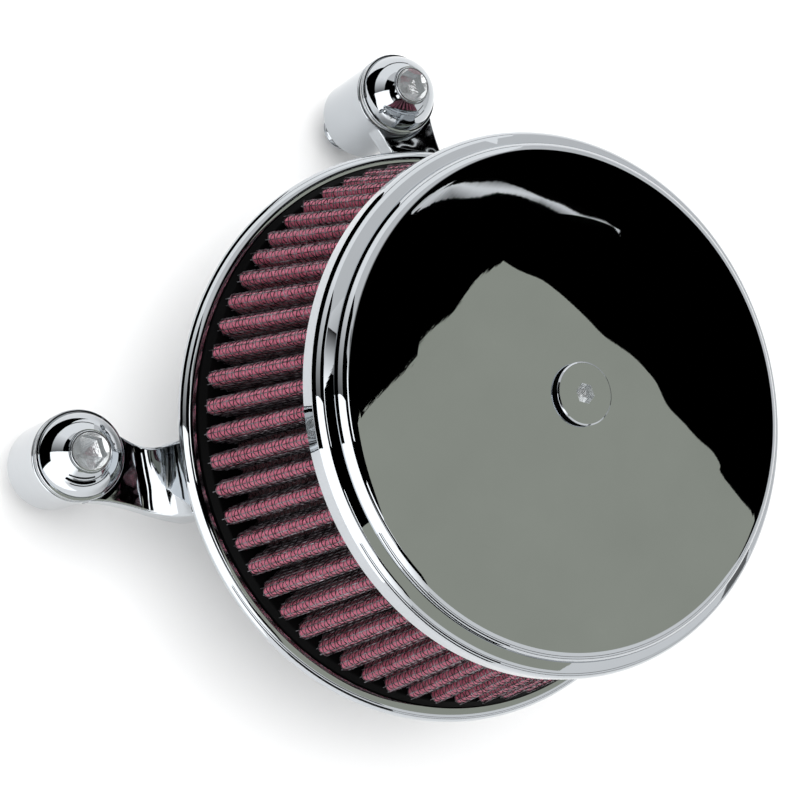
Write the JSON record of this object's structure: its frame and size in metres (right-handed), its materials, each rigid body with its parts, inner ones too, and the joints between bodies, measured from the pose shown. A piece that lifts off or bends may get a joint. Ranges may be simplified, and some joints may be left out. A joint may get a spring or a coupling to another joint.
{
  "type": "motorcycle air cleaner",
  "caption": "Round chrome air cleaner with a tapered pleated filter, a one-screw domed cover and two breather posts on arms.",
  "frame": {"origin": "centre of the intake throat on the rear face of the carburettor gasket", "axes": "+Z along the filter axis towards the cover, +Y up on the motorcycle between the two breather posts, +X to the right seen from the cover with +Y up"},
  "size_m": [0.172, 0.1637, 0.1209],
  "materials": {
    "chrome_plate": "polished chrome plate on a casting",
    "chrome_cover": "mirror chrome on stamped steel",
    "chrome_hardware": "mirror chrome on turned steel",
    "aluminium": "fine turned",
    "zinc_steel": "clear zinc plate",
    "red_gauze": "oiled cotton gauze behind coated wire mesh",
    "wire_screen": "dark coated wire",
    "black_urethane": "moulded, satin",
    "gasket": "matt compressed fibre"
  },
  "bodies": {
    "backplate_assembly": {"backplate": "chrome_plate", "left_breather_arm": "chrome_plate", "right_breather_arm": "chrome_plate", "intake_gasket": "gasket", "intake_horn": "aluminium", "cover_bracket": "zinc_steel", "cover_nut": "zinc_steel", "standoff_1": "aluminium", "standoff_2": "aluminium", "standoff_3": "aluminium", "bracket_screw_1": "zinc_steel", "bracket_screw_2": "zinc_steel", "bracket_screw_3": "zinc_steel", "intake_screw_1": "zinc_steel", "intake_screw_2": "zinc_steel", "intake_screw_3": "zinc_steel", "left_post_seal": "black_urethane", "right_post_seal": "black_urethane"},
    "cover_shell": {"cover": "chrome_cover"},
    "filter_element": {"filter_media": "red_gauze", "filter_inner_screen": "wire_screen", "filter_rear_cap": "black_urethane", "filter_front_cap": "black_urethane"},
    "cover_screw_seal": {"cover_screw_washer": "black_urethane"},
    "cover_screw_body": {"cover_screw": "chrome_hardware"},
    "left_bolt_seal": {"left_bolt_washer": "zinc_steel"},
    "left_bolt_body": {"left_breather_bolt": "chrome_hardware"},
    "right_bolt_seal": {"right_bolt_washer": "zinc_steel"},
    "right_bolt_body": {"right_breather_bolt": "chrome_hardware"}
  },
  "joints": [
    {"name": "cover_lift", "type": "slide", "parent": "backplate_assembly", "child": "cover_shell", "axis": [0, 0, 1], "range_m": [0, 0.14]},
    {"name": "filter_lift", "type": "slide", "parent": "backplate_assembly", "child": "filter_element", "axis": [0, 0, 1], "range_m": [0, 0.07]},
    {"name": "cover_screw_rise", "type": "slide", "parent": "cover_shell", "child": "cover_screw_seal", "axis": [0, 0, 1], "range_m": [0, 0.00846]},
    {"name": "cover_screw_turn", "type": "hinge", "parent": "cover_screw_seal", "child": "cover_screw_body", "pos_m": [0, 0, 0.0793], "axis": [0, 0, 1], "range_deg": [0, 2160]},
    {"name": "left_bolt_rise", "type": "slide", "parent": "backplate_assembly", "child": "left_bolt_seal", "axis": [0, 0, 1], "range_m": [0, 0.01172]},
    {"name": "left_bolt_turn", "type": "hinge", "parent": "left_bolt_seal", "child": "left_bolt_body", "pos_m": [-0.07393, 0.07114, -0.0035], "axis": [0, 0, 1], "range_deg": [0, 2160]},
    {"name": "right_bolt_rise", "type": "slide", "parent": "backplate_assembly", "child": "right_bolt_seal", "axis": [0, 0, 1], "range_m": [0, 0.01172]},
    {"name": "right_bolt_turn", "type": "hinge", "parent": "right_bolt_seal", "child": "right_bolt_body", "pos_m": [0.07393, 0.07114, -0.0035], "axis": [0, 0, 1], "range_deg": [0, 2160]}
  ],
  "couplings": [
    {"joint": "filter_lift", "follows": "cover_lift", "ratio": 0.5},
    {"joint": "cover_screw_turn", "follows": "cover_screw_rise", "rad_per_m": 4452.6},
    {"joint": "left_bolt_turn", "follows": "left_bolt_rise", "rad_per_m": 3215.8},
    {"joint": "right_bolt_turn", "follows": "right_bolt_rise", "rad_per_m": 3215.8}
  ]
}
